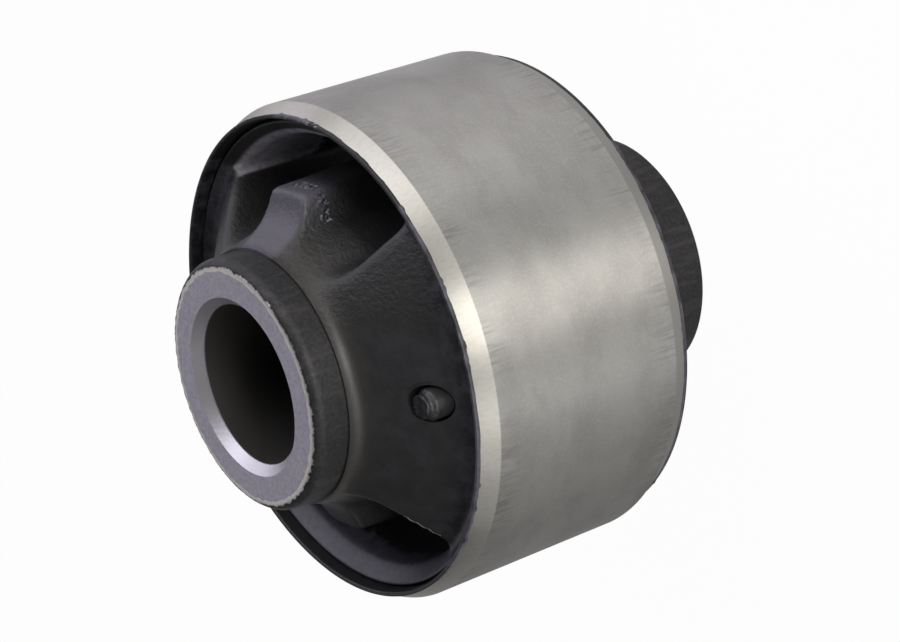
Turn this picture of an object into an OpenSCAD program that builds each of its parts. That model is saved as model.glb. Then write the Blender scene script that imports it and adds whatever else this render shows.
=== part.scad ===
// Rubber metal bush: a steel outer sleeve, a steel inner sleeve and one rubber body moulded between them.
// Millimetres. The axis is Z, the origin is the centre of the inner sleeve's rear face, and the front is up.
// The two solid webs lie along X. The two voids, each with a bump stop standing in it, lie along Y.

/* [Outer sleeve] */
// Outside diameter, the press fit in the arm's eye
sleeve_od = 66; // [62:0.5:72]
// Length from edge to edge
sleeve_len = 32.6; // [28:0.2:38]
// Wall thickness
sleeve_wall = 1.5; // [1.2:0.1:1.8]
// Length of the turned lead-in cone at each edge
lead_len = 2.4; // [1.2:0.1:3.6]
// Width of the flat land that the cone leaves at each edge
edge_land = 0.3; // [0.2:0.05:0.5]

/* [Inner sleeve] */
// Outside diameter
tube_od = 33; // [31:0.5:34]
// Diameter of the bolt bore
bore_d = 21; // [16:0.5:24]
// Length from face to face
tube_len = 62.5; // [58:0.5:68]
// How far the front face stands out of the outer sleeve
front_reach = 12.9; // [11:0.1:15]
// Chamfer at both mouths of the bore
bore_chamfer = 1.2; // [0.5:0.1:1.8]
// Round on the outer edge of the front face
front_round = 1.5; // [0.5:0.1:2]
// Broken outer edge of the rear face
rear_break = 0.3; // [0.2:0.1:1]

/* [Rubber faces] */
// How far the rubber climbs the inner sleeve past the outer sleeve's edge
neck_height = 8.3; // [6:0.1:9.5]
// Thickness of the rubber at the top of the neck
neck_skin = 0.35; // [0.3:0.05:0.6]
// Height of the bevelled edge at the top of the neck
neck_edge = 0.3; // [0.2:0.1:0.6]
// Hollow round between the neck and a web's face
neck_round = 2; // [1.5:0.1:3]
// Slope of a web's face down from the neck, in degrees
face_slope = 37; // [32:1:40]
// Hollow round where a web's face meets the slope of the rim
valley_round = 0.8; // [0.4:0.1:1.2]
// Slope of the rim down into the rubber, in degrees
rim_slope = 49; // [40:1:60]
// Distance of the rim's crest from the outer sleeve's wall
crest_inset = 0.8; // [0.7:0.1:1.4]
// Depth of the rim's crest below the outer sleeve's edge
crest_depth = 1.2; // [0.8:0.1:2]
// Round on the crest
crest_round = 0.25; // [0.15:0.05:0.3]

/* [Rim bead] */
// Height of the bead that covers the outer sleeve's edge
bead_height = 0.4; // [0.35:0.05:0.8]
// How far the bead laps over the lead-in cone, measured on the radius
bead_lap = 0.25; // [0.1:0.05:0.4]
// Rubber between the bead's groove and the outer sleeve's wall
groove_skin = 0.15; // [0.1:0.05:0.3]
// Depth of the groove's floor below the crest
groove_depth = 0.4; // [0.2:0.1:0.8]

/* [Voids] */
// Angle that one void takes of the circle
void_angle = 85; // [84:1:87]
// Rubber left on the outer sleeve inside a void
lining = 2.9; // [2.5:0.1:3.4]
// Rubber left on the inner sleeve inside a void
sheath = 2.8; // [2.2:0.1:3.2]
// Rubber left on the inner sleeve at the top of a void
sheath_top = 0.5; // [0.45:0.05:0.8]
// Depth below the outer sleeve's edge at which the sheath has its full thickness
sheath_depth = 1.5; // [0:0.5:5]
// Round in a void's two inner corners
inner_corner = 3.6; // [2:0.1:3.8]
// Round in a void's two outer corners
outer_corner = 2.4; // [1:0.1:2.6]
// Draft of a void's walls towards the parting plane, in degrees
draft = 2.5; // [0.5:0.5:3]

/* [Bump stops] */
// Gap left between a bump stop and the lining, at the mouth of the void
stop_gap = 5.6; // [5:0.1:6.4]
// Width of a bump stop at its outer end
stop_width = 6.8; // [5:0.1:8]
// Extra width at its root on the inner sleeve
stop_flare = 3; // [1:0.1:4]
// Hollow round between a bump stop and the sheath
stop_root = 2.2; // [1:0.1:2.6]
// Round along the two outer edges
stop_edge = 0.9; // [0.4:0.1:1.4]
// Height of the upper stop's end over the outer sleeve's edge
upper_lift = 2.6; // [1.5:0.1:3]
// Height of the lower stop's end over the outer sleeve's edge
lower_lift = 1; // [0.5:0.1:3]
// Round between the stop's end and its outer face
stop_nose = 1; // [0.4:0.1:1.4]
// Hollow of the stop's end face between the neck and the nose
stop_hollow = 1.2; // [0.6:0.1:1.6]

/* [Gate mark] */
// Distance of the gate mark from the axis
gate_place = 24.4; // [23.5:0.1:25]
// Sideways offset of the gate mark from the web's middle
gate_shift = -0.4; // [-1:0.1:1]
// Diameter of the sunk ring
gate_d = 4.9; // [4:0.1:5.4]
// Depth of the ring's floor below the outer sleeve's edge
gate_depth = 1.3; // [1.1:0.1:2]
// Diameter of the torn stub in the middle
stub_d = 4.1; // [2.5:0.1:4.2]
// Height of the stub over the outer sleeve's edge
stub_height = 3.2; // [2:0.1:3.5]

/* [Hidden] */
$fn = 96;

steel = "#b9b8b3";
coated_steel = "#4a4a4c";
rubber = "#29292b";

sleeve_r = sleeve_od / 2;
wall_r = sleeve_r - sleeve_wall;
land_r = wall_r + edge_land;
lead_rate = lead_len / (sleeve_r - land_r);
tube_r = tube_od / 2;
bore_r = bore_d / 2;

// The rubber is drawn from the sleeve's middle plane, where the two halves of the mould part
half_len = sleeve_len / 2;
middle = tube_len - front_reach - half_len;
neck_top = half_len + neck_height;
over = 1;

function arc(centre, r, from, to, steps) =
    [for (i = [0:steps]) let (a = from + (to - from) * i / steps) centre + r * [cos(a), sin(a)]];
function without_ends(points) = [for (i = [1:len(points) - 2]) points[i]];
// An arc from p to q that hangs below their chord
function bow(p, q, hang, steps) =
    let (chord = q - p, half = norm(chord) / 2, r = (half * half + hang * hang) / (2 * hang))
    let (centre = (p + q) / 2 + (r - hang) * [-chord.y, chord.x] / (2 * half))
    let (a = p - centre, b = q - centre)
    arc(centre, r, atan2(a.y, a.x), atan2(b.y, b.x), steps);
// A profile's front half, points on the middle plane, and the same half turned over for the rear
function both_ends(half, mid = []) =
    concat(half, mid, [for (i = [len(half) - 1:-1:0]) [half[i].x, -half[i].y]]);
// The first point from p along d that lies r from the axis
function first_at(p, d, r) = p - (p * d + sqrt((p * d) ^ 2 - p * p + r * r)) * d;

// Web's face, rim and bead, from the neck outwards
neck_r = tube_r + neck_skin;
neck_centre = [neck_r + neck_round, neck_top - neck_edge];
face_start = neck_centre.y - neck_round * tan(45 - face_slope / 2);
crest_centre = [wall_r - crest_inset, half_len - crest_depth - crest_round];
rim_top = crest_centre + crest_round * [-sin(rim_slope), cos(rim_slope)];
valley_r = (face_start - rim_top.y + neck_r * tan(face_slope) + rim_top.x * tan(rim_slope))
    / (tan(face_slope) + tan(rim_slope));
valley = [valley_r, rim_top.y - (rim_top.x - valley_r) * tan(rim_slope)];
valley_half = 90 - (face_slope + rim_slope) / 2;
valley_up = 90 + (rim_slope - face_slope) / 2;
valley_centre = valley + valley_round / sin(valley_half) * [cos(valley_up), sin(valley_up)];
rim_foot = valley_centre + valley_round * [sin(rim_slope), -cos(rim_slope)];
groove_r = wall_r - groove_skin;
lap_r = land_r + bead_lap;
bead_round = (lap_r - groove_r) / 2;
bead_centre = [groove_r + bead_round, half_len + bead_height - bead_round];

web_half = concat(
    [[tube_r, neck_top]],
    arc(neck_centre, neck_round, 180, 270 - face_slope, 6),
    arc(valley_centre, valley_round, 270 - face_slope, 270 + rim_slope, 6),
    arc(crest_centre, crest_round, 90 + rim_slope, 0, 4),
    [[groove_r - groove_skin, crest_centre.y - groove_depth]],
    arc(bead_centre, bead_round, 180, 0, 8),
    [[lap_r, half_len - bead_lap * lead_rate], [land_r, half_len], [wall_r, half_len]]
);

// A void narrows by the draft from the kink in its sheath to the middle plane
kink = half_len - sheath_depth;
sheath_rate = (sheath - sheath_top) / (neck_top - kink);
lining_r = wall_r - lining;
mouth_z = rim_foot.y - (rim_foot.x - lining_r) * tan(rim_slope);
stop_r = lining_r - stop_gap;
stop_lean = atan(stop_flare / 2 / (stop_r - tube_r));
function narrowing(z, from) = max(0, from - abs(z)) * tan(draft);
function sheath_at(z) = tube_r + sheath + narrowing(z, kink) - max(0, abs(z) - kink) * sheath_rate;
// Past the mouth of a void the lining goes on as the slope of the rim
function lining_at(z) = abs(z) < mouth_z ? lining_r - narrowing(z, mouth_z)
    : lining_r + (min(abs(z), kink) - mouth_z) / tan(rim_slope);
// Half the angle of a void between the rounds in its outer corners, which grow with the lining's radius
lining_half = void_angle / 2 - asin(outer_corner / (lining_r - outer_corner));

// A bump stop's end runs from the neck in a hollow curve, then over a nose to its outer face
neck_foot = [tube_r + sheath_top, neck_top];
function nose_height(lift) = half_len + lift - stop_nose;
function nose(lift) = arc([stop_r - stop_nose, nose_height(lift)], stop_nose, 80, 0, 5);
function stop_half(lift) = concat(
    [neck_foot + [0, over], neck_foot],
    without_ends(bow(neck_foot, nose(lift)[0], stop_hollow, 6)),
    nose(lift)
);
mouth_half = [[rim_foot.x, neck_top + over], rim_foot, [lining_r, mouth_z]];

// The outer edges of a bump stop turn this far before they meet its outer face, in degrees
edge_turn = 50;
// The round in an outer corner starts this far ahead of the lining, so that the two cuts overlap, in degrees
outer_start = 10;

// Outline of the space between a bump stop and the web on its right, at the height z
function pocket_outline(z, lift) =
    let (half_angle = void_angle / 2)
    let (outer_round = outer_corner * lining_at(z) / lining_r)
    let (outer = (lining_at(z) - outer_round) * [sin(lining_half), cos(lining_half)])
    let (corner_at = sheath_at(z) + inner_corner)
    let (corner_turn = half_angle - asin(inner_corner / corner_at))
    let (corner = corner_at * [sin(corner_turn), cos(corner_turn)])
    let (side = [sin(stop_lean), -cos(stop_lean)], out = [cos(stop_lean), sin(stop_lean)])
    let (shoulder = [stop_width / 2 + narrowing(z, half_len + lift), stop_r])
    let (root = first_at(shoulder + stop_root * out, side, sheath_at(z) + stop_root))
    let (root_turn = atan2(root.x, root.y))
    let (face_r = stop_r + narrowing(z, nose_height(lift)))
    let (edge = first_at(shoulder - stop_edge * out, side, face_r - stop_edge))
    let (edge_end = stop_lean + edge_turn)
    let (leave = edge + stop_edge * [cos(edge_end), sin(edge_end)] + over * [-sin(edge_end), cos(edge_end)])
    concat(
        arc(outer, outer_round, 90 - lining_half + outer_start, -half_angle, 5),
        arc(corner, inner_corner, -half_angle, -90 - corner_turn, 6),
        without_ends(arc([0, 0], sheath_at(z), 90 - corner_turn, 90 - root_turn, 4)),
        arc(root, stop_root, -90 - root_turn, stop_lean - 180, 4),
        arc(edge, stop_edge, stop_lean, edge_end, 3),
        [leave, (stop_r + 2 * lining_r) / 3 * leave / norm(leave)]
    );

// A solid through a stack of outlines, each with as many points as the next
module skin(outlines, heights) {
    n = len(outlines[0]);
    last = len(heights) - 1;
    polyhedron(
        points = [for (k = [0:last]) for (p = outlines[k]) [p.x, p.y, heights[k]]],
        faces = concat(
            [[for (i = [n - 1:-1:0]) i], [for (i = [0:n - 1]) last * n + i]],
            [for (k = [0:last - 1]) for (i = [0:n - 1]) let (j = (i + 1) % n)
                each [[k * n + i, k * n + j, (k + 1) * n + j], [k * n + i, (k + 1) * n + j, (k + 1) * n + i]]]
        )
    );
}

module outer_sleeve() {
    profile = [
        [wall_r, -half_len], [land_r, -half_len], [sleeve_r, lead_len - half_len],
        [sleeve_r, half_len - lead_len], [land_r, half_len], [wall_r, half_len]
    ];
    color(steel)
        translate([0, 0, middle])
            rotate_extrude()
                polygon(profile);
}

module inner_sleeve() {
    profile = concat(
        [[bore_r + bore_chamfer, 0], [tube_r - rear_break, 0], [tube_r, rear_break]],
        arc([tube_r - front_round, tube_len - front_round], front_round, 0, 90, 6),
        [
            [bore_r + bore_chamfer, tube_len], [bore_r, tube_len - bore_chamfer],
            [bore_r, bore_chamfer]
        ]
    );
    color(coated_steel)
        rotate_extrude()
            polygon(profile);
}

// The space over and outside a bump stop, out to the lining, right through the body
module channel(lift) {
    outline = concat(
        both_ends(mouth_half, [[lining_r - narrowing(0, mouth_z), 0]]),
        [for (p = both_ends(stop_half(lift), [[stop_r + narrowing(0, nose_height(lift)), 0]])) [p.x, -p.y]]
    );
    rotate([0, 0, 90 - lining_half])
        rotate_extrude(angle = 2 * lining_half)
            polygon(outline);
}

// The space between a bump stop and the web on its right
module pocket(lift) {
    heights = [-neck_top - over, -kink, -mouth_z, 0, mouth_z, kink, neck_top + over];
    skin([for (z = heights) pocket_outline(z, lift)], heights);
}

module void_space(lift) {
    channel(lift);
    pocket(lift);
    mirror([1, 0, 0])
        pocket(lift);
}

module rubber_body() {
    gate_floor = half_len - gate_depth;
    color(rubber)
        translate([0, 0, middle]) {
            difference() {
                rotate_extrude()
                    polygon(both_ends(web_half));
                void_space(upper_lift);
                rotate([0, 0, 180])
                    void_space(lower_lift);
                translate([gate_place, gate_shift, gate_floor])
                    cylinder(d = gate_d, h = neck_top);
            }
            translate([gate_place, gate_shift, gate_floor - over])
                cylinder(d = stub_d, h = over + gate_depth + stub_height);
        }
}

outer_sleeve();
rubber_body();
inner_sleeve();
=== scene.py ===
import math

import bpy
from mathutils import Matrix, Vector, noise


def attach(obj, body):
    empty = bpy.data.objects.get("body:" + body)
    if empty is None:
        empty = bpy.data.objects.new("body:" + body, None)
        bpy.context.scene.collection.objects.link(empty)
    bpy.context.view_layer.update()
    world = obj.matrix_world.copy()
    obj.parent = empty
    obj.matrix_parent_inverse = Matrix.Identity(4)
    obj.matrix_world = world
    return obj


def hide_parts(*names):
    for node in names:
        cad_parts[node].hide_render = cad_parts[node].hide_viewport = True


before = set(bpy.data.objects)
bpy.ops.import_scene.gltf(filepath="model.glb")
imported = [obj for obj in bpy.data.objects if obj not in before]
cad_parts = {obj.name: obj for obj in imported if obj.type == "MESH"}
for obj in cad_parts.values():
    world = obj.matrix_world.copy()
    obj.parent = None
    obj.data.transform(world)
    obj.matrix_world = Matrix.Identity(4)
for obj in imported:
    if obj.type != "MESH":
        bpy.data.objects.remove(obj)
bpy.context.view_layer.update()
bpy.ops.object.select_all(action="DESELECT")

# The photograph: a look down at the front face from the side of the gate mark, with a long lens.
# The bush lies on its side there, so the upper void's side, +Y, is up in the picture.
MM = 0.001
camera_place = Vector((288.185, 113.453, 227.344)) * MM
camera_turn = [math.radians(a) for a in (-27.372, 52.783, -11.406)]
bpy.ops.object.camera_add(location=camera_place, rotation=camera_turn)
camera = bpy.context.object
camera.data.sensor_width = 36
camera.data.lens = 112
camera.data.clip_start = 0.01
camera.data.clip_end = 10
bpy.context.scene.camera = camera
bpy.context.scene.view_settings.view_transform = "Standard"

# The table that the bush stands on is white paper. A glow of its own keeps it white to the camera
# and pale in the metal, and its small matt share takes a faint shadow of the bush.
floor_radius = 3
floor_colour = "#EEEEEE"
seen_glow = 0.97
mirrored_glow = 0.25


def linear(hex_colour):
    """An sRGB hex colour as the linear colour that a node takes."""
    parts = [int(hex_colour[i:i + 2], 16) / 255 for i in (1, 3, 5)]
    return [c / 12.92 if c <= 0.04045 else ((c + 0.055) / 1.055) ** 2.4 for c in parts] + [1]


def add(tree, kind, sockets=None, **settings):
    """Adds a node, sets its options, and links or sets its sockets. A hex colour is turned linear."""
    made = tree.nodes.new(kind)
    for name, value in settings.items():
        setattr(made, name, value)
    for key, value in (sockets or {}).items():
        if isinstance(value, bpy.types.NodeSocket):
            tree.links.new(value, made.inputs[key])
        else:
            made.inputs[key].default_value = linear(value) if isinstance(value, str) else value
    return made


def backdrop_glow(tree, seen, mirrored):
    """The backdrop's own light: what the camera sees of it, and what metal or glass does."""
    ray = add(tree, "ShaderNodeLightPath").outputs
    onward = add(tree, "ShaderNodeMath", {0: ray["Is Glossy Ray"], 1: ray["Is Transmission Ray"]},
                 operation="MAXIMUM")
    straight = add(tree, "ShaderNodeMath", {0: ray["Is Camera Ray"], 1: seen}, operation="MULTIPLY")
    bent = add(tree, "ShaderNodeMath", {0: onward.outputs[0], 1: mirrored}, operation="MULTIPLY")
    glow = add(tree, "ShaderNodeMath", {0: straight.outputs[0], 1: bent.outputs[0]}, operation="MAXIMUM")
    return glow.outputs[0]


bpy.ops.mesh.primitive_circle_add(vertices=96, radius=floor_radius, fill_type="NGON")
floor = bpy.context.object
floor.name = "paper_floor"
paper = bpy.data.materials.new("white_paper")
paper.use_nodes = True
tree = paper.node_tree
tree.nodes.clear()
share = backdrop_glow(tree, seen_glow, mirrored_glow)
matt = add(tree, "ShaderNodeBsdfDiffuse", {"Color": floor_colour})
glow = add(tree, "ShaderNodeEmission", {"Color": "#FFFFFF", "Strength": 1})
mixed = add(tree, "ShaderNodeMixShader", {0: share, 1: matt.outputs[0], 2: glow.outputs[0]})
add(tree, "ShaderNodeOutputMaterial", {"Surface": mixed.outputs[0]})
floor.data.materials.append(paper)

# Soft boxes stand round the bush in a dim room. The strongest stands low, to the right in the picture,
# and draws the bright streak along the sleeve. Those above and to the left light rubber and end ring.
world = bpy.data.worlds.new("dim_room")
world.use_nodes = True
bpy.context.scene.world = world
tree = world.node_tree
wall = tree.nodes["Background"]
wall.inputs["Color"].default_value = linear("#FFFFFF")
mirrored_wall = 0.12
room_light = 0.03
wall_light = add(tree, "ShaderNodeMath", {0: backdrop_glow(tree, seen_glow, mirrored_wall), 1: room_light},
                 operation="MAXIMUM")
tree.links.new(wall_light.outputs[0], wall.inputs["Strength"])
aim = Vector((0, 0, 33)) * MM
box_distance = 0.7
box_size = 0.4


def soft_box(name, towards, light, colour="#FFFFFF", size=box_size):
    """A square area lamp that faces the bush from the given direction."""
    place = aim + Vector(towards).normalized() * box_distance
    turn = (place - aim).to_track_quat("Z", "Y").to_euler()
    bpy.ops.object.light_add(type="AREA", location=place, rotation=turn)
    lamp = bpy.context.object
    lamp.name = name
    lamp.data.size = size
    lamp.data.energy = light * math.pi * size * size
    lamp.data.color = linear(colour)[:3]


soft_box("key_box", (0.94, 0.27, 0.12), 10.0, "#FFFDF8", 0.3)
soft_box("right_box", (0.76, 0.6, 0.2), 1.7)
soft_box("front_box", (0.95, -0.25, 0.15), 2.2)
soft_box("lower_front_box", (0.8, -0.5, 0.38), 1.4)
soft_box("low_box", (0.5, -0.8, 0.3), 0.6)
soft_box("right_top_box", (0.3, 0.93, 0.2), 1.6)
soft_box("top_box", (0.15, 0.9, 0.5), 1.8)
soft_box("back_top_box", (-0.35, 0.92, 0.2), 1.2)
soft_box("top_left_box", (-0.3, 0.7, 0.65), 2.6, "#F6F4FF")
soft_box("left_box", (-0.82, 0.46, 0.3), 1.6, "#F3F0FF")
soft_box("lower_left_box", (-0.784, -0.31, 0.54), 0.55, "#F6F4FF")


# The outer sleeve is a cut and ground steel tube, 66 mm across, pressed into the arm's eye. Both its
# edges are turned to a short lead-in cone, whose corners are worn round by handling.
sleeve_r = 33.0
sleeve_len = 32.6
sleeve_wall = 1.5
lead_len = 2.4
edge_land = 0.3
middle = 33.3
half_len = sleeve_len / 2
wall_r = sleeve_r - sleeve_wall
land_r = wall_r + edge_land
cone_turn = math.degrees(math.atan((sleeve_r - land_r) / lead_len))
corner_round = 0.5
edge_break = 0.1
edge_out = 0.05
edge_in = 0.03


def tangent(degrees):
    """The tangent of an angle in degrees."""
    return math.tan(math.radians(degrees))


def outline_mesh(name, points):
    """A closed profile in the XZ plane, in millimetres, as an object of edges."""
    mesh = bpy.data.meshes.new(name)
    edges = [(i, (i + 1) % len(points)) for i in range(len(points))]
    mesh.from_pydata([(r, 0, z) for r, z in points], edges, [])
    piece = bpy.data.objects.new(name, mesh)
    bpy.context.collection.objects.link(piece)
    bpy.ops.object.select_all(action="DESELECT")
    piece.select_set(True)
    bpy.context.view_layer.objects.active = piece
    return piece


def turned(name, points, steps=288, angle=360):
    """A closed profile of radius and height spun round the axis, with ends filled if it stops short."""
    piece = outline_mesh(name, points)
    bpy.ops.object.mode_set(mode="EDIT")
    bpy.ops.mesh.select_all(action="SELECT")
    bpy.ops.mesh.spin(steps=steps, angle=math.radians(angle), center=(0, 0, 0), axis=(0, 0, 1))
    if angle < 360:
        bpy.ops.mesh.select_all(action="DESELECT")
        bpy.ops.mesh.select_non_manifold(extend=False)
        bpy.ops.mesh.edge_face_add()
    bpy.ops.mesh.select_all(action="SELECT")
    bpy.ops.mesh.remove_doubles(threshold=0.0005)
    bpy.ops.mesh.normals_make_consistent(inside=False)
    bpy.ops.object.mode_set(mode="OBJECT")
    return piece


def arc(x, y, r, start, stop, steps):
    """Points of an arc of radius r about (x, y), its ends in degrees."""
    turns = [math.radians(start + (stop - start) * i / steps) for i in range(steps + 1)]
    return [(x + r * math.cos(a), y + r * math.sin(a)) for a in turns]


def finish_shape(piece, height=0, smooth_angle=35):
    """Lifts a piece modelled in millimetres to its height, turns it to metres and smooths its shading."""
    bpy.ops.object.select_all(action="DESELECT")
    piece.select_set(True)
    bpy.context.view_layer.objects.active = piece
    piece.data.materials.clear()
    piece.data.transform(Matrix.Scale(MM, 4) @ Matrix.Translation((0, 0, height)))
    bpy.ops.object.shade_smooth_by_angle(angle=math.radians(smooth_angle))
    piece.data.update()


def both_ends(half, mid=()):
    """A profile's front half, points on the middle plane, and the same half turned over for the rear."""
    return half + list(mid) + [(r, -z) for r, z in reversed(half)]


corner_drop = corner_round * tangent(cone_turn / 2)
corner_z = half_len - lead_len - corner_drop
upper_edge = (arc(sleeve_r - corner_round, corner_z, corner_round, 0, cone_turn, 4)
              + [(land_r + edge_out, half_len - edge_break), (land_r - edge_in, half_len)]
              + [(wall_r, half_len)])
outer_sleeve = turned("outer_sleeve_ground", both_ends(upper_edge), steps=360)
finish_shape(outer_sleeve, middle)

# Ground bare steel: satin and grey, with fine marks round the tube, a soft mottle where the stone
# took more or less, and short feathered marks along the axis that run in from both ends. The real
# marks lie some twenty to a millimetre, too fine to show, so they are drawn at about three.
ground = bpy.data.materials.new("ground_bare_steel")
ground.use_nodes = True
tree = ground.node_tree
tree.nodes.clear()


def in_millimetres(tree):
    """The place on the piece in millimetres, and its three coordinates."""
    place = add(tree, "ShaderNodeTexCoord")
    spot = add(tree, "ShaderNodeVectorMath", {0: place.outputs["Object"], 1: (1000, 1000, 1000)},
               operation="MULTIPLY").outputs[0]
    return spot, add(tree, "ShaderNodeSeparateXYZ", {0: spot}).outputs


def grain(tree, spot, per_mm, detail=3.0, roughness=0.5):
    """Noise with the given number of waves to a millimetre along X, Y and Z."""
    stretched = add(tree, "ShaderNodeVectorMath", {0: spot, 1: per_mm}, operation="MULTIPLY")
    return add(tree, "ShaderNodeTexNoise", {"Vector": stretched.outputs[0], "Scale": 1.0, "Detail": detail,
                                            "Roughness": roughness}).outputs[0]


def where(tree, *steps, most=1.0):
    """How much of a finish shows: its most, a number or another share, times soft steps. Each step gives
    a value, where the finish shows least, where it shows in full, and its least if that isn't none."""
    share = most
    for value, least_at, full_at, *rest in steps:
        least = rest[0] if rest else 0
        step = add(tree, "ShaderNodeMapRange", {0: value, 1: least_at, 2: full_at, 3: least},
                   interpolation_type="SMOOTHSTEP")
        share = add(tree, "ShaderNodeMath", {0: share, 1: step.outputs[0]}, operation="MULTIPLY").outputs[0]
    return share


def tinted(tree, colour, *tints):
    """A colour with tints laid over it in turn, each by the share that it shows with."""
    for share, tint in tints:
        colour = add(tree, "ShaderNodeMix", {0: share, 6: colour, 7: tint}, data_type="RGBA").outputs[2]
    return colour


spot, (x, y, z) = in_millimetres(tree)
from_middle = add(tree, "ShaderNodeMath", {0: z, 1: middle}, operation="SUBTRACT").outputs[0]
to_end = add(tree, "ShaderNodeMath", {0: from_middle}, operation="ABSOLUTE").outputs[0]
marks = grain(tree, spot, (0.12, 0.12, 3.4), 4)
mottle = grain(tree, spot, (0.1, 0.1, 0.16), 4, 0.6)
feather = grain(tree, spot, (2.6, 2.6, 0.25), 3)
specks = grain(tree, spot, (3.2, 3.2, 3.2), 2)
patches = grain(tree, spot, (0.22, 0.22, 0.1), 2)
cone_start = half_len - lead_len
on_cone = where(tree, (to_end, cone_start - 0.1, cone_start + 0.1))
off_cone = where(tree, (to_end, cone_start + 0.1, cone_start - 0.1))
side_colour = tinted(
    tree, "#A4A29E",
    (where(tree, (mottle, 0.35, 0.7)), "#979591"),
    (where(tree, (marks, 0.35, 0.75), most=0.14), "#A8A6A0"),
    (where(tree, (specks, 0.45, 0.75), most=0.3), "#B6B4AF"),
    (where(tree, (feather, 0.4, 0.66), (to_end, 8.5, cone_start), (patches, 0.4, 0.62, 0.25), most=0.42),
     "#6A6967"))
# The cone colour is painted darker on the rear cone, below the middle plane: painted shade.
cone_colour = tinted(
    tree, "#C2BFB7",
    (where(tree, (feather, 0.4, 0.7), most=0.3), "#AAA7A0"),
    (where(tree, (z, middle + 1, middle - 1)), "#93918D"))
gloss = add(tree, "ShaderNodeMapRange", {0: on_cone, 3: 0.48, 4: 0.46}, interpolation_type="SMOOTHSTEP")
relief = add(tree, "ShaderNodeMath", {0: marks, 1: off_cone}, operation="MULTIPLY")
bump = add(tree, "ShaderNodeBump", {"Height": relief.outputs[0], "Strength": 0.3, "Distance": 0.00004})
along = add(tree, "ShaderNodeCombineXYZ", {0: 0, 1: 0, 2: 1})
steel = add(tree, "ShaderNodeBsdfPrincipled", {
    "Base Color": tinted(tree, side_colour, (on_cone, cone_colour)), "Metallic": 1,
    "Roughness": gloss.outputs[0], "Anisotropic": 0.9, "Tangent": along.outputs[0],
    "Normal": bump.outputs[0]})
add(tree, "ShaderNodeOutputMaterial", {"Surface": steel.outputs[0]})
outer_sleeve.data.materials.append(ground)
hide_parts("outer_sleeve")
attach(outer_sleeve, "root")

# The inner sleeve is a thick seamless tube for the bolt, dark with phosphate outside and in the bore.
# Its faces are cut bare after that: the front one has a rounded outer edge with a thin burr.
tube_r = 16.5
bore_r = 10.5
tube_len = 62.5
bore_chamfer = 1.2
mouth_r = bore_r + bore_chamfer
front_round = 1.5
rear_break = 0.3
burr_r = 15.6
burr_half = 0.5
burr_deep = 0.6
burr_out = 0.1
burr_wave = 0.22
burr_nick = 0.12
burr_fall = 0.3
tube_profile = ([(mouth_r, 0), (tube_r - rear_break, 0), (tube_r, rear_break)]
                + arc(tube_r - front_round, tube_len - front_round, front_round, 0, 90, 12)
                + [(mouth_r, tube_len), (bore_r, tube_len - bore_chamfer), (bore_r, bore_chamfer)])
inner_sleeve = turned("inner_sleeve_phosphated", tube_profile, steps=288)
for vertex in inner_sleeve.data.vertices:
    co = vertex.co
    ragged_edge = max(0, 1 - abs(math.hypot(co.x, co.y) - burr_r) / burr_half)
    if co.z > tube_len - burr_deep and ragged_edge > 0:
        out = ragged_edge * (burr_out + burr_wave * noise.noise(co * 0.9) + burr_nick * noise.noise(co * 2.9))
        stretch = 1 + out / burr_r
        co.x, co.y, co.z = co.x * stretch, co.y * stretch, co.z - burr_fall * max(0, -out)
finish_shape(inner_sleeve)

# Phosphated steel: a dark grey crystal coat, a little brown where it is rubbed, and grainy bare steel
# with a violet cast where the front end was faced after coating. The crystals are too fine to show,
# so their grain is drawn at about two to a millimetre.
phosphate = bpy.data.materials.new("phosphated_steel")
phosphate.use_nodes = True
tree = phosphate.node_tree
tree.nodes.clear()
spot, (x, y, z) = in_millimetres(tree)


def axis_distance(tree, x, y):
    """How far a point lies from the axis, in millimetres."""
    flat = add(tree, "ShaderNodeCombineXYZ", {0: x, 1: y})
    return add(tree, "ShaderNodeVectorMath", {0: flat.outputs[0]}, operation="LENGTH").outputs["Value"]


bare_r = 15.1
radius = axis_distance(tree, x, y)
fine = grain(tree, spot, (2.2, 2.2, 2.2), 4)
streaks = grain(tree, spot, (0.9, 0.9, 0.12), 3)
ragged = grain(tree, spot, (1.1, 1.1, 1.1), 3)
reach = add(tree, "ShaderNodeMath", {0: ragged, 1: -0.9, 2: radius}, operation="MULTIPLY_ADD").outputs[0]
front = where(tree, (z, tube_len - 1.4, tube_len - 1.2))
bare = where(tree, (reach, bare_r + 0.15, bare_r), most=front)
# The burr ring along the face's outer edge is painted near white: a painted highlight.
burr_highlight = where(tree, (reach, bare_r - 0.65, bare_r - 0.5), (reach, bare_r + 0.1, bare_r - 0.1), most=front)
chamfer = where(tree, (radius, mouth_r, mouth_r - 0.02), (radius, bore_r + 0.02, bore_r + 0.1), most=front)
coat_colour = tinted(
    tree, "#222123",
    (where(tree, (fine, 0.35, 0.7)), "#2F2E30"),
    (where(tree, (streaks, 0.5, 0.68), most=0.3), "#494540"),
    (where(tree, (radius, bore_r + 0.1, bore_r + 0.02)), "#3A3836"))
face_colour = tinted(
    tree, "#A8A5AE",
    (where(tree, (fine, 0.3, 0.72)), "#BCB9C3"),
    (chamfer, "#C0BDC3"),
    # near white on the burr ring: a painted highlight
    (burr_highlight, "#E2DED6"))
gloss = add(tree, "ShaderNodeMapRange", {0: bare, 3: 0.55, 4: 0.45}, interpolation_type="SMOOTHSTEP")
bump = add(tree, "ShaderNodeBump", {"Height": fine, "Strength": 0.5, "Distance": 0.00005})
coat = add(tree, "ShaderNodeBsdfPrincipled", {
    "Base Color": tinted(tree, coat_colour, (bare, face_colour)),
    "Metallic": where(tree, (bare, 0, 1, 0.5)), "Roughness": gloss.outputs[0], "Normal": bump.outputs[0]})
add(tree, "ShaderNodeOutputMaterial", {"Surface": coat.outputs[0]})
inner_sleeve.data.materials.append(phosphate)
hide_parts("inner_sleeve")
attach(inner_sleeve, "root")

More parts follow.
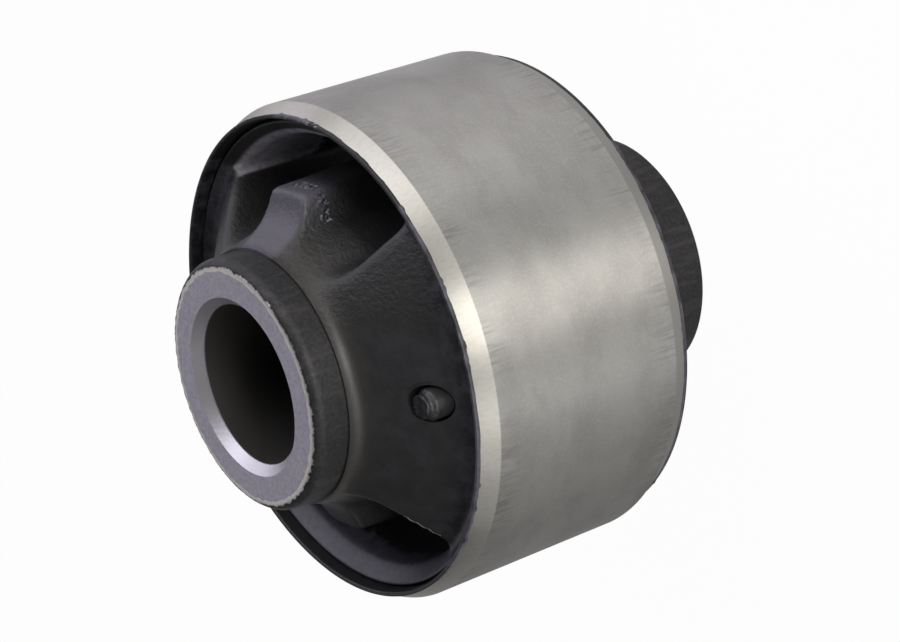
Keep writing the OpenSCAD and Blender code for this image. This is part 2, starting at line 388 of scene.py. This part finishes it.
# The rubber body is one black moulding, bonded to both sleeves in its mould: two solid webs along X,
# two voids along Y and a bump stop on the inner sleeve in each. The mould parts on the middle plane.
neck_rise = 8.3
neck_skin = 0.35
neck_top = half_len + neck_rise
neck_r = tube_r + neck_skin
neck_land = 0.3
neck_round = 2.0
face_slope = 37.0
valley_round = 0.8
rim_slope = 49.0
crest = (wall_r - 0.8, half_len - 1.45)
crest_round = 0.25
face_foot = neck_top - neck_land - neck_round * tangent(45 - face_slope / 2)
rim_start = (crest[0] - crest_round * math.sin(math.radians(rim_slope)),
             crest[1] + crest_round * math.cos(math.radians(rim_slope)))
valley_r = ((face_foot - rim_start[1] + neck_r * tangent(face_slope) + rim_start[0] * tangent(rim_slope))
            / (tangent(face_slope) + tangent(rim_slope)))
valley_z = rim_start[1] - (rim_start[0] - valley_r) * tangent(rim_slope)
valley_arm = valley_round / math.sin(math.radians(90 - (face_slope + rim_slope) / 2))
valley_lean = math.radians(90 + (rim_slope - face_slope) / 2)
valley_centre = (valley_r + valley_arm * math.cos(valley_lean), valley_z + valley_arm * math.sin(valley_lean))
rim_foot = (valley_centre[0] + valley_round * math.sin(math.radians(rim_slope)),
            valley_centre[1] - valley_round * math.cos(math.radians(rim_slope)))

# The blank has the webs' faces and is larger than the moulding inside, outside and at its edges. Its
# voids are cut, its surface is softened, and then an envelope trims it to the sleeves.
blank_r = wall_r + 2
blank_bore = tube_r - 2.5
blank_top = neck_top + 1.5
blank_edge = half_len + 1.2
rim_end = wall_r - 0.4
blank_half = ([(blank_bore, blank_top), (neck_r, blank_top)]
              + arc(neck_r + neck_round, neck_top - neck_land, neck_round, 180, 270 - face_slope, 10)
              + arc(*valley_centre, valley_round, 270 - face_slope, 270 + rim_slope, 10)
              + [(rim_end, rim_start[1] + (rim_end - rim_start[0]) * tangent(rim_slope)),
                 (rim_end, blank_edge), (blank_r, blank_edge)])
rubber_body = turned("rubber_body_moulded", both_ends(blank_half), steps=288)

# Each void runs right through with drafted walls. It is cut in three: the channel over the bump stop's
# end, and a pocket on each side of the stop. One corner, at the upper left in the picture, is sharper.
void_half = 85.0 / 2
lining = 2.9
lining_r = wall_r - lining
outer_corner = 2.4
tight_half = 41.6
tight_corner = 0.8
sheath = 2.8
sheath_top = 0.5
kink = half_len - 1.5
inner_corner = 3.6
draft_turn = 2.5
draft = tangent(draft_turn)
stop_gap = 5.6
stop_r = lining_r - stop_gap
stop_nose = 1.0
stop_edge = 0.9
stop_root = 2.2
stop_width = 6.8
stop_spread = 3.0
stop_lean = math.atan(stop_spread / 2 / (stop_r - tube_r))
stop_hollow = 1.2
upper_lift = 2.6
lower_lift = 1.0
edge_turn = 50
corner_lap = 10
mouth_z = rim_foot[1] - (rim_foot[0] - lining_r) * tangent(rim_slope)
cut_end = neck_top + 3.0


def narrowing(z, start):
    """How far a void's wall has come in by its draft at the height z."""
    return max(0, start - abs(z)) * draft


def sheath_at(z):
    """Outside radius of the rubber on the inner sleeve in a void at the height z."""
    rate = (sheath - sheath_top) / (neck_top - kink)
    return tube_r + sheath + narrowing(z, kink) - max(0, abs(z) - kink) * rate


def lining_at(z):
    """Inside radius of the rubber on the outer sleeve, which goes on as the rim past the mouth."""
    if abs(z) < mouth_z:
        return lining_r - narrowing(z, mouth_z)
    return lining_r + (min(abs(z), kink) - mouth_z) / tangent(rim_slope)


def lining_half(half, corner):
    """Where a void's rounded corner leaves the lining, in degrees from the middle of the void."""
    return half - math.degrees(math.asin(corner / (lining_r - corner)))


def hollow(p, q, hang, steps):
    """Points of an arc from p to q that hangs below their chord."""
    p, q = Vector(p), Vector(q)
    chord = q - p
    half = chord.length / 2
    r = (half * half + hang * hang) / (2 * hang)
    centre = (p + q) / 2 + (r - hang) * Vector((-chord.y, chord.x)) / (2 * half)
    start, stop = [math.degrees(math.atan2(v.y - centre.y, v.x - centre.x)) for v in (p, q)]
    return arc(centre.x, centre.y, r, start, stop, steps)


def first_at(p, d, r):
    """The first point from p along d that lies r from the axis."""
    along = p.dot(d)
    return p - (along + math.sqrt(along * along - p.dot(p) + r * r)) * d


def channel_profile(lift):
    """Section of the space over a bump stop whose end is lifted over the sleeve's edge."""
    nose_z = half_len + lift - stop_nose
    nose = arc(stop_r - stop_nose, nose_z, stop_nose, 80, 0, 6)
    stop_half = ([(tube_r + sheath_top, cut_end)]
                 + hollow((tube_r + sheath_top, neck_top), nose[0], stop_hollow, 10)[:-1] + nose)
    mouth_half = [(rim_foot[0], cut_end), rim_foot, (lining_r, mouth_z)]
    stop_side = both_ends(stop_half, [(stop_r + narrowing(0, nose_z), 0)])
    return (both_ends(mouth_half, [(lining_r - narrowing(0, mouth_z), 0)])
            + [(r, -z) for r, z in stop_side])


def pocket_outline(z, lift, half, corner):
    """Outline of the space between a bump stop and the web on its right, at the height z."""
    outer_round = corner * lining_at(z) / lining_r
    turn = math.radians(lining_half(half, corner))
    outer = (lining_at(z) - outer_round) * Vector((math.sin(turn), math.cos(turn)))
    skin = sheath_at(z)
    corner_turn = math.radians(half) - math.asin(inner_corner / (skin + inner_corner))
    inner = (skin + inner_corner) * Vector((math.sin(corner_turn), math.cos(corner_turn)))
    side = Vector((math.sin(stop_lean), -math.cos(stop_lean)))
    out = Vector((math.cos(stop_lean), math.sin(stop_lean)))
    shoulder = Vector((stop_width / 2 + narrowing(z, half_len + lift), stop_r))
    root = first_at(shoulder + stop_root * out, side, skin + stop_root)
    root_turn = math.degrees(math.atan2(root.x, root.y))
    face_r = stop_r + narrowing(z, half_len + lift - stop_nose)
    edge = first_at(shoulder - stop_edge * out, side, face_r - stop_edge)
    lean = math.degrees(stop_lean)
    turn = math.radians(lean + edge_turn)
    leave = (edge + stop_edge * Vector((math.cos(turn), math.sin(turn)))
             + Vector((-math.sin(turn), math.cos(turn))))
    corner_deg = math.degrees(corner_turn)
    points = arc(*outer, outer_round, 90 + corner_lap - lining_half(half, corner), -half, 10)
    points += arc(*inner, inner_corner, -half, -90 - corner_deg, 14)
    points += arc(0, 0, skin, 90 - corner_deg, 90 - root_turn, 8)[1:-1]
    points += arc(*root, stop_root, -90 - root_turn, lean - 180, 10)
    points += arc(*edge, stop_edge, lean, lean + edge_turn, 5)
    points += [tuple(leave), tuple((stop_r + 2 * lining_r) / 3 * leave.normalized())]
    return points


def skin_mesh(name, outlines, heights):
    """A closed skin through a stack of outlines, each with as many points as the next."""
    count = len(outlines[0])
    points = [(x, y, z) for outline, z in zip(outlines, heights) for x, y in outline]
    faces = [list(range(count)), [(len(heights) - 1) * count + i for i in range(count - 1, -1, -1)]]
    for k in range(len(heights) - 1):
        for i in range(count):
            j = (i + 1) % count
            faces.append([k * count + j, k * count + i, (k + 1) * count + i, (k + 1) * count + j])
    mesh = bpy.data.meshes.new(name)
    mesh.from_pydata(points, [], faces)
    piece = bpy.data.objects.new(name, mesh)
    bpy.context.collection.objects.link(piece)
    return piece


def apply_modifier(piece, kind, **settings):
    """Puts one modifier on the piece and applies it."""
    bpy.ops.object.select_all(action="DESELECT")
    bpy.context.view_layer.objects.active = piece
    piece.select_set(True)
    modifier = piece.modifiers.new("step", kind)
    for name, value in settings.items():
        setattr(modifier, name, value)
    bpy.ops.object.modifier_apply(modifier=modifier.name)


def join_by(piece, tool, operation):
    """Cuts the piece with the tool, or adds or keeps only what both hold, and removes the tool."""
    apply_modifier(piece, "BOOLEAN", operation=operation, solver="MANIFOLD", object=tool)
    bpy.data.objects.remove(tool)


for void_turn, lift, far_half, far_corner in ((0, upper_lift, tight_half, tight_corner),
                                              (180, lower_lift, void_half, outer_corner)):
    near_reach, far_reach = lining_half(void_half, outer_corner), lining_half(far_half, far_corner)
    channel = turned("channel", channel_profile(lift), steps=72, angle=near_reach + far_reach)
    channel.data.transform(Matrix.Rotation(math.radians(90 + far_reach + void_turn), 4, "Z"))
    join_by(rubber_body, channel, "DIFFERENCE")
    for flip, half, corner in ((1, void_half, outer_corner), (-1, far_half, far_corner)):
        heights = [-cut_end, -kink, -mouth_z, 0, mouth_z, kink, cut_end]
        pocket = skin_mesh("pocket", [pocket_outline(z, lift, half, corner) for z in heights], heights)
        place = Matrix.Rotation(math.radians(void_turn), 4, "Z") @ Matrix.Diagonal((flip, 1, 1, 1))
        pocket.data.transform(place)
        if flip < 0:
            pocket.data.flip_normals()
        join_by(rubber_body, pocket, "DIFFERENCE")

# A moulding has no sharp edge. Small cells and a light smoothing soften the whole surface, a stronger
# smoothing rounds the webs' edges by the upper void, and deep in the voids the cells are merged again.
skin_cell = 0.35
edge_reach = 2.2
edge_weight = 1.7
deep_half = 12.0
deep_kept = 0.62
apply_modifier(rubber_body, "REMESH", mode="VOXEL", voxel_size=skin_cell)
apply_modifier(rubber_body, "SMOOTH", factor=0.5, iterations=8)


def face_at(r):
    """Height of a web's face over the middle plane, at the radius r."""
    return face_foot - (r - neck_r) * tangent(face_slope)


def edge_distance(co):
    """How far a point lies from the nearest edge between a web's face and the upper void."""
    r = math.hypot(co.x, co.y)
    if co.y <= 0 or r < neck_r:
        return math.inf
    depth = (face_at(r) - abs(co.z)) * math.cos(math.radians(face_slope))
    turn = math.radians(void_half if co.x > 0 else tight_half)
    corner_r = sheath_at(co.z) + inner_corner
    corner_turn = turn - math.asin(inner_corner / corner_r)
    x = abs(co.x)
    if r * math.cos(math.atan2(x, co.y) - turn) > corner_r * math.cos(turn - corner_turn):
        inside = x * math.cos(turn) - co.y * math.sin(turn)
    else:
        inside = math.hypot(x - corner_r * math.sin(corner_turn), co.y - corner_r * math.cos(corner_turn))
        inside -= inner_corner
    return math.hypot(inside, depth)


def weigh(piece, name, weight_at):
    """A vertex group whose weights come from the vertices' places."""
    group = piece.vertex_groups.new(name=name)
    for vertex in piece.data.vertices:
        weight = min(1, weight_at(vertex.co))
        if weight > 0:
            group.add([vertex.index], weight, "REPLACE")


weigh(rubber_body, "round_edges", lambda co: edge_weight - edge_distance(co) / edge_reach)
apply_modifier(rubber_body, "SMOOTH", factor=0.5, iterations=70, vertex_group="round_edges")
weigh(rubber_body, "deep_walls", lambda co: (deep_half - abs(co.z)) / 2)
apply_modifier(rubber_body, "DECIMATE", ratio=deep_kept, vertex_group="deep_walls", vertex_group_factor=10)

# The envelope holds the rim's crest, the groove behind it and the bead that laps the outer sleeve's
# edge. The rubber crept out unevenly there, so the lap waves a little and is chipped in places.
groove = 0.15
groove_drop = 0.4
groove_r = wall_r - groove
bead_rise = 0.4
lap_thick = 0.25
lap_r = land_r + lap_thick
lap_len = 0.5
lap_wave = 0.05
lap_chip = 0.5
chip_from = 0.35
lap_short = 0.16
bead_round = (lap_r - groove_r) / 2
crest_start = arc(*crest, crest_round, 90 + rim_slope, 0, 6)
envelope_half = ([(tube_r, neck_top), (crest_start[0][0], neck_top)] + crest_start
                 + [(groove_r - groove, crest[1] - groove_drop)]
                 + arc(groove_r + bead_round, half_len + bead_rise - bead_round, bead_round, 180, 0, 10)
                 + [(lap_r, half_len - lap_len), (land_r, half_len), (wall_r, half_len)])
envelope = turned("envelope", both_ends(envelope_half), steps=288)
for vertex in envelope.data.vertices:
    co = vertex.co
    if math.hypot(co.x, co.y) > groove_r + 2 * bead_round - 0.1 and abs(co.z) > half_len - lap_len - 0.2:
        uneven = noise.noise(co * 0.35) * lap_wave + max(0, noise.noise(co * 1.6) - chip_from) * lap_chip
        stretch = 1 + (uneven - lap_short) / lap_r
        co.x, co.y = co.x * stretch, co.y * stretch
join_by(rubber_body, envelope, "INTERSECT")

# The gate mark on the web's face: a sunk ring with a thin lip on its upper side, and in its middle
# the tapered stub where the runner tore off.
gate_drop = 1.3
gate_centre = Vector((24.4, -0.4, half_len - gate_drop))
gate_root = Vector((0, 0, 1))
gate_ring = 2.45
lip_width = 0.22
lip_rise = 0.28
lip_sunk = 0.05
stub_r = 2.1
stub_height = 4.3
stub_cell = 0.16
stub_taper = 0.06
stub_drift = 0.06
tip_taper = 0.2
tip_wave = 0.3
tip_nick = 0.12


def cylinder(name, radius, base, height):
    """A closed cylinder that stands on its base point."""
    bpy.ops.mesh.primitive_cylinder_add(vertices=64, radius=radius, depth=height,
                                        location=base + Vector((0, 0, height / 2)))
    piece = bpy.context.object
    piece.name = name
    bpy.ops.object.transform_apply(location=True, rotation=False, scale=False)
    return piece


def held(value):
    """The value, held between 0 and 1."""
    return max(0, min(1, value))


lip = cylinder("gate_lip", gate_ring + lip_width, gate_centre - gate_root, 6)
for vertex in lip.data.vertices:
    co = vertex.co
    if co.z > gate_centre.z:
        rise = lip_rise * max(0, co.y - gate_centre.y) / gate_ring
        co.z = face_at(math.hypot(co.x, co.y)) - lip_sunk + rise
join_by(rubber_body, lip, "UNION")
join_by(rubber_body, cylinder("gate_hole", gate_ring, gate_centre, 8), "DIFFERENCE")
stub = cylinder("gate_stub", stub_r, gate_centre - gate_root, gate_root.z + stub_height)
bpy.ops.object.mode_set(mode="EDIT")
bpy.ops.mesh.select_all(action="SELECT")
bpy.ops.mesh.quads_convert_to_tris()
bpy.ops.mesh.subdivide(number_cuts=3)
bpy.ops.object.mode_set(mode="OBJECT")
apply_modifier(stub, "REMESH", mode="VOXEL", voxel_size=stub_cell)
for vertex in stub.data.vertices:
    co = vertex.co
    rise = held((co.z - gate_centre.z) / stub_height)
    torn = held((rise - 0.6) / 0.28)
    taper = 1 - stub_taper * rise - tip_taper * held((rise - 0.72) / 0.1)
    co.x = gate_centre.x + (co.x - gate_centre.x) * taper
    co.y = gate_centre.y + (co.y - gate_centre.y) * taper
    co.z += torn * (tip_wave * noise.noise(co * 1.1) + tip_nick * noise.noise(co * 2.7))
    drift = stub_drift * noise.noise(co * 0.8 + Vector((7, 0, 0)))
    co.x += drift
    co.y += drift
join_by(rubber_body, stub, "UNION")

# Flash left by the mould: a thin fin along the lower edge of the web with the gate mark, and torn
# crumbs on the upper bump stop, a little behind its end. Their shapes are random.
fin_parts = 12
fin_start_r = 23.4
fin_run = 4.6
fin_turn = -46.4
fin_height = 18.36
fin_fall = 3.5
fin_thick = 0.12
fin_tip = 0.04
fin_sides = 6
crumb_size = 0.6


def fin(name, points, radii):
    """A thin closed thread of rubber through the points, with its own radius at each."""
    rings = []
    for i, point in enumerate(points):
        before, after = Vector(points[max(0, i - 1)]), Vector(points[min(len(points) - 1, i + 1)])
        turn = (after - before).to_track_quat("Z", "Y")
        rings.append([Vector(point) + turn @ Vector((radii[i] * math.cos(math.tau * k / fin_sides),
                                                     radii[i] * math.sin(math.tau * k / fin_sides), 0))
                      for k in range(fin_sides)])
    mesh = bpy.data.meshes.new(name)
    count = len(rings)
    faces = [list(range(fin_sides - 1, -1, -1)), [(count - 1) * fin_sides + k for k in range(fin_sides)]]
    faces += [[i * fin_sides + k, i * fin_sides + (k + 1) % fin_sides,
               (i + 1) * fin_sides + (k + 1) % fin_sides, (i + 1) * fin_sides + k]
              for i in range(count - 1) for k in range(fin_sides)]
    mesh.from_pydata([co for ring in rings for co in ring], [], faces)
    piece = bpy.data.objects.new(name, mesh)
    bpy.context.collection.objects.link(piece)
    return piece


def at(radius, degrees, height):
    """A point of the piece by its radius, its turn from +X and its height over the middle."""
    turn = math.radians(degrees)
    return (radius * math.cos(turn), radius * math.sin(turn), height)


web_fin = [at(fin_start_r + fin_run * i / fin_parts, fin_turn + 0.25 * math.sin(i * 1.9),
              fin_height - fin_fall * i / fin_parts + 0.04 * math.cos(i * 2.3))
           for i in range(fin_parts + 1)]
web_fin_radii = [fin_tip] + [fin_thick] * (fin_parts - 1) + [fin_tip]
join_by(rubber_body, fin("web_flash", web_fin, web_fin_radii), "UNION")
crumbs = [(23.0, 92.7, 16.9), (23.0, 90.6, 16.8), (23.05, 88.2, 16.6), (23.05, 86.0, 16.45),
          (22.9, 83.4, 16.3), (22.5, 80.8, 16.1), (22.0, 79.8, 15.9), (21.4, 79.2, 15.7),
          (20.8, 78.4, 15.9), (20.3, 77.8, 16.3)]
for index, (radius, degrees, height) in enumerate(crumbs):
    centre = Vector(at(radius, degrees, height))
    bpy.ops.mesh.primitive_ico_sphere_add(subdivisions=2, radius=crumb_size, location=centre)
    crumb = bpy.context.object
    bpy.ops.object.transform_apply(location=True, rotation=False, scale=False)
    for vertex in crumb.data.vertices:
        reach = vertex.co - centre
        vertex.co = centre + reach * (0.62 + 0.9 * noise.noise(vertex.co * 1.9 + Vector((index, 0, 0))))
    join_by(rubber_body, crumb, "UNION")

finish_shape(rubber_body, middle, 45)

# Moulded rubber: near black and satin, grained in the upper half, where the mould was rough, and painted
# darker there as shade, with faint flow streaks elsewhere. The violet-grey bloom of bonding agent on the
# lining by its mouth is painted paler than it is, as light on the lining, and palest in the upper void, where
# it paints a lit patch. The valley by the rim and the bump stop's end carry a painted sheen. The grain is too
# fine to show, so it is drawn at under two to a millimetre.
black = bpy.data.materials.new("moulded_rubber")
black.use_nodes = True
tree = black.node_tree
tree.nodes.clear()
spot, (x, y, z) = in_millimetres(tree)
radius = axis_distance(tree, x, y)
pebbles = grain(tree, spot, (1.7, 1.7, 1.7), 3, 0.6)
flow = grain(tree, spot, (0.35, 0.35, 0.35), 4, 0.65)
ragged = grain(tree, spot, (0.8, 0.8, 0.8), 3, 0.6)
rough_part = where(tree, (y, 5, 13))
upper_void = where(tree, (y, -5, 5))
aside = add(tree, "ShaderNodeMath", {0: x}, operation="ABSOLUTE").outputs[0]
upright = add(tree, "ShaderNodeMath", {0: y}, operation="ABSOLUTE").outputs[0]
past_web = add(tree, "ShaderNodeMath", {0: upright, 1: -0.9, 2: aside}, operation="MULTIPLY_ADD").outputs[0]
bloom_and_light_edge = add(tree, "ShaderNodeMath", {0: ragged, 1: 5.0, 2: z}, operation="MULTIPLY_ADD").outputs[0]
inward = add(tree, "ShaderNodeMath", {0: upper_void, 1: 7.5, 2: bloom_and_light_edge},
             operation="MULTIPLY_ADD").outputs[0]
outward = add(tree, "ShaderNodeMath", {0: upper_void, 1: 1.4, 2: radius}, operation="MULTIPLY_ADD").outputs[0]
# Bloom on the lining by its mouth, painted paler than it is as light falling on the lining.
bloom_and_light = where(tree, (past_web, 0.4, -0.4), (radius, lining_r - 0.9, lining_r - 0.5), (outward, 31.1, 30.6),
              (inward, middle + 11.5, middle + 13.1), (ragged, 0.3, 0.7, 0.6))
# In the upper void the paler colour paints a lit patch on the shaded lining: painted light.
bloom_and_light_colour = tinted(tree, "#55525D", (upper_void, "#A8A4B0"))
# The end of the upper bump stop is painted pale: a painted sheen of the light on it, with a dusty look.
stop_end_sheen = where(tree, (y, 15, 17), (z, middle + 13, middle + 17), (aside, 4.6, 3.2), most=0.85)
# A pale violet patch in the web's valley by the rim: a painted sheen.
valley_sheen = where(tree, (radius, 26, 29), (past_web, -0.4, 0.6), (flow, 0.3, 0.7), most=0.7)
by_tube = where(tree, (radius, 19.5, 17.3), (z, middle + 14, middle + 17), most=0.6)
crumbling = where(tree, (x, -2, -1), (y, 18.3, 19), (aside, 6.2, 5.6), (z, middle + 15.2, middle + 15.5),
                  (z, middle + 17.1, middle + 16.8), (pebbles, 0.54, 0.64))
gum_colour = tinted(
    tree, "#1A1A1C",
    (where(tree, (flow, 0.35, 0.7)), "#242326"),
    # darker in the upper half: painted shade of the upper void
    (where(tree, (y, 5, 13), most=0.8), "#0E0E0F"),
    (by_tube, "#2B2824"),
    (valley_sheen, "#55525D"),
    (stop_end_sheen, "#4C4953"),
    (crumbling, "#7A7781"),
    (bloom_and_light, bloom_and_light_colour))
gloss = add(tree, "ShaderNodeMapRange", {0: rough_part, 3: 0.45, 4: 0.5}, interpolation_type="SMOOTHSTEP")
relief = where(tree, (rough_part, 0, 1, 0.12), most=pebbles)
relief = add(tree, "ShaderNodeMath", {0: flow, 1: 0.5, 2: relief}, operation="MULTIPLY_ADD")
bump = add(tree, "ShaderNodeBump", {"Height": relief.outputs[0], "Strength": 0.8, "Distance": 0.00016})
gum = add(tree, "ShaderNodeBsdfPrincipled", {
    "Base Color": gum_colour, "Roughness": gloss.outputs[0], "Normal": bump.outputs[0]})
add(tree, "ShaderNodeOutputMaterial", {"Surface": gum.outputs[0]})
rubber_body.data.materials.append(black)
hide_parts("rubber_body")
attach(rubber_body, "root")
